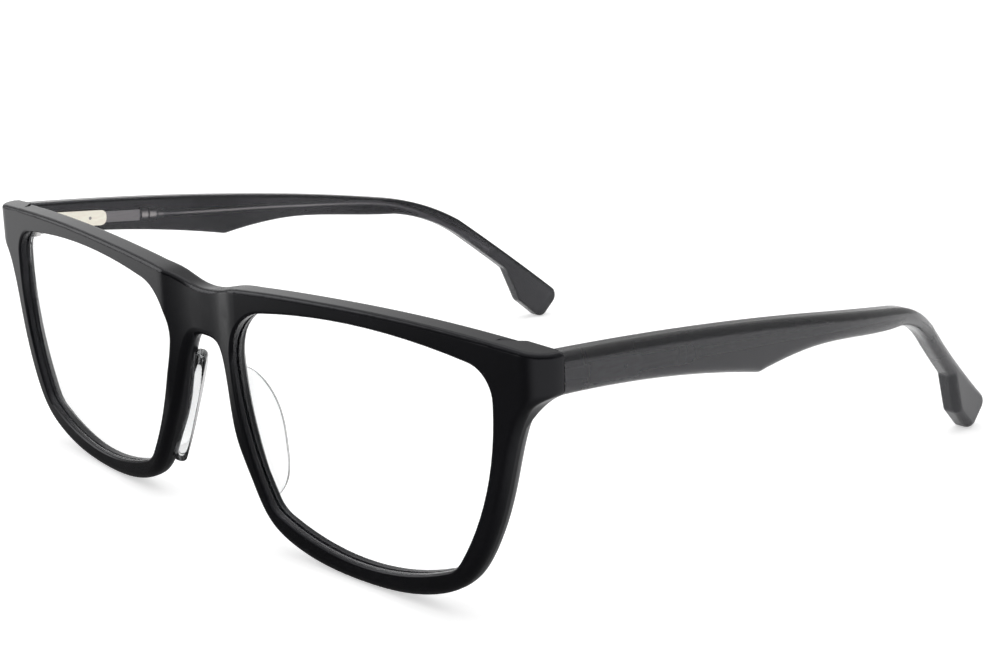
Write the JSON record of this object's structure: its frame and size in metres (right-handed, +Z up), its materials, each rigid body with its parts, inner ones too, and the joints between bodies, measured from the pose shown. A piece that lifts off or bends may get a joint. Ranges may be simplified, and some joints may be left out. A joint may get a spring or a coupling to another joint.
{
  "type": "eyeglasses frame",
  "caption": "Full-rim rectangular acetate spectacle frame with clear lenses, clear nose pads, spring hinges and wire-cored folding temples.",
  "frame": {"origin": "centre of the box of the opened frame, on the floor it stands on", "axes": "+X to the wearer's left, +Y from the lenses to the temple tips, +Z up"},
  "size_m": [0.1418, 0.1362, 0.0423],
  "materials": {
    "front_acetate": "polished black cellulose acetate",
    "temple_acetate": "polished dark charcoal acetate, slightly see-through",
    "clear_acetate": "clear tumbled acetate",
    "lens_plastic": "clear uncoated demonstration lens",
    "hinge_steel": "bright turned steel",
    "spring_steel": "drawn spring wire",
    "core_metal": "drawn nickel silver",
    "housing_metal": "pale gold plated",
    "washer_nylon": "moulded nylon"
  },
  "bodies": {
    "front": {"front_frame": "front_acetate", "lens_left": "lens_plastic", "lens_right": "lens_plastic", "nose_pad_left": "clear_acetate", "nose_pad_right": "clear_acetate", "hinge_front_leaf_left": "hinge_steel", "hinge_front_leaf_right": "hinge_steel", "hinge_screw_left": "hinge_steel", "hinge_screw_right": "hinge_steel"},
    "left_washers": {"hinge_washers_left": "washer_nylon"},
    "left_plunger": {"spring_plunger_left": "hinge_steel", "plunger_nut_left": "hinge_steel"},
    "left_temple": {"temple_left": "temple_acetate", "core_wire_left": "core_metal", "spring_housing_left": "housing_metal", "coil_spring_left": "spring_steel", "retaining_pin_left": "hinge_steel"},
    "right_washers": {"hinge_washers_right": "washer_nylon"},
    "right_plunger": {"spring_plunger_right": "hinge_steel", "plunger_nut_right": "hinge_steel"},
    "right_temple": {"temple_right": "temple_acetate", "core_wire_right": "core_metal", "spring_housing_right": "housing_metal", "coil_spring_right": "spring_steel", "retaining_pin_right": "hinge_steel"}
  },
  "joints": [
    {"name": "left_fold", "type": "hinge", "parent": "front", "child": "left_washers", "pos_m": [0.0659, -0.05723, 0.0379], "axis": [0, 0, 1], "range_deg": [0, 85]},
    {"name": "left_flex", "type": "hinge", "parent": "left_washers", "child": "left_plunger", "pos_m": [0.0659, -0.05723, 0.0379], "axis": [0, 0, -1], "range_deg": [0, 8], "stiffness_Nm_per_rad": 0.3},
    {"name": "left_housing_slide", "type": "slide", "parent": "left_plunger", "child": "left_temple", "axis": [-0.0299, 0.9957, -0.0872], "range_m": [0, 0.00074]},
    {"name": "right_fold", "type": "hinge", "parent": "front", "child": "right_washers", "pos_m": [-0.0659, -0.05723, 0.0379], "axis": [0, 0, -1], "range_deg": [0, 67]},
    {"name": "right_flex", "type": "hinge", "parent": "right_washers", "child": "right_plunger", "pos_m": [-0.0659, -0.05723, 0.0379], "axis": [0, 0, 1], "range_deg": [0, 8], "stiffness_Nm_per_rad": 0.3},
    {"name": "right_housing_slide", "type": "slide", "parent": "right_plunger", "child": "right_temple", "axis": [0.0299, 0.9957, -0.0872], "range_m": [0, 0.00074]}
  ],
  "couplings": [
    {"joint": "left_housing_slide", "follows": "left_flex", "m_per_rad": 0.0052},
    {"joint": "right_housing_slide", "follows": "right_flex", "m_per_rad": 0.0052}
  ]
}
